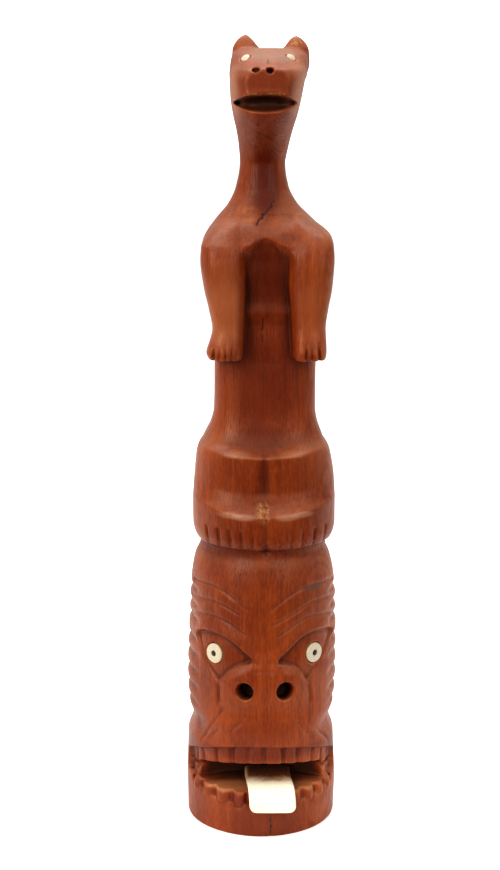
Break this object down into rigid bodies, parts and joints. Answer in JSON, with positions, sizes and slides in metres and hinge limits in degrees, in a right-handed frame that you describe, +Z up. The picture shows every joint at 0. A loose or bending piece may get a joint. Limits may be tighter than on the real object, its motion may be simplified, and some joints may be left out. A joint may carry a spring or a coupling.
{
  "type": "carved wooden totem pole",
  "caption": "Small carved wooden totem pole: a long-necked animal sits on a wide-mouthed head with inlaid eyes and a hanging tongue.",
  "frame": {"origin": "centre of the flat underside of the log", "axes": "+Z up the pole, -Y towards the front that the faces look to, +X to the right of someone facing it"},
  "size_m": [0.0594, 0.0605, 0.305],
  "materials": {
    "wood": "stained and waxed, semi-gloss",
    "ivory_inlay": "polished cream inlay",
    "dark_inlay": "polished black inlay"
  },
  "bodies": {
    "root": {"pole": "wood", "tongue": "ivory_inlay", "lower_eye_left": "ivory_inlay", "lower_eye_right": "ivory_inlay", "lower_pupil_left": "dark_inlay", "lower_pupil_right": "dark_inlay", "upper_eye_left": "ivory_inlay", "upper_eye_right": "ivory_inlay"}
  },
  "joints": []
}
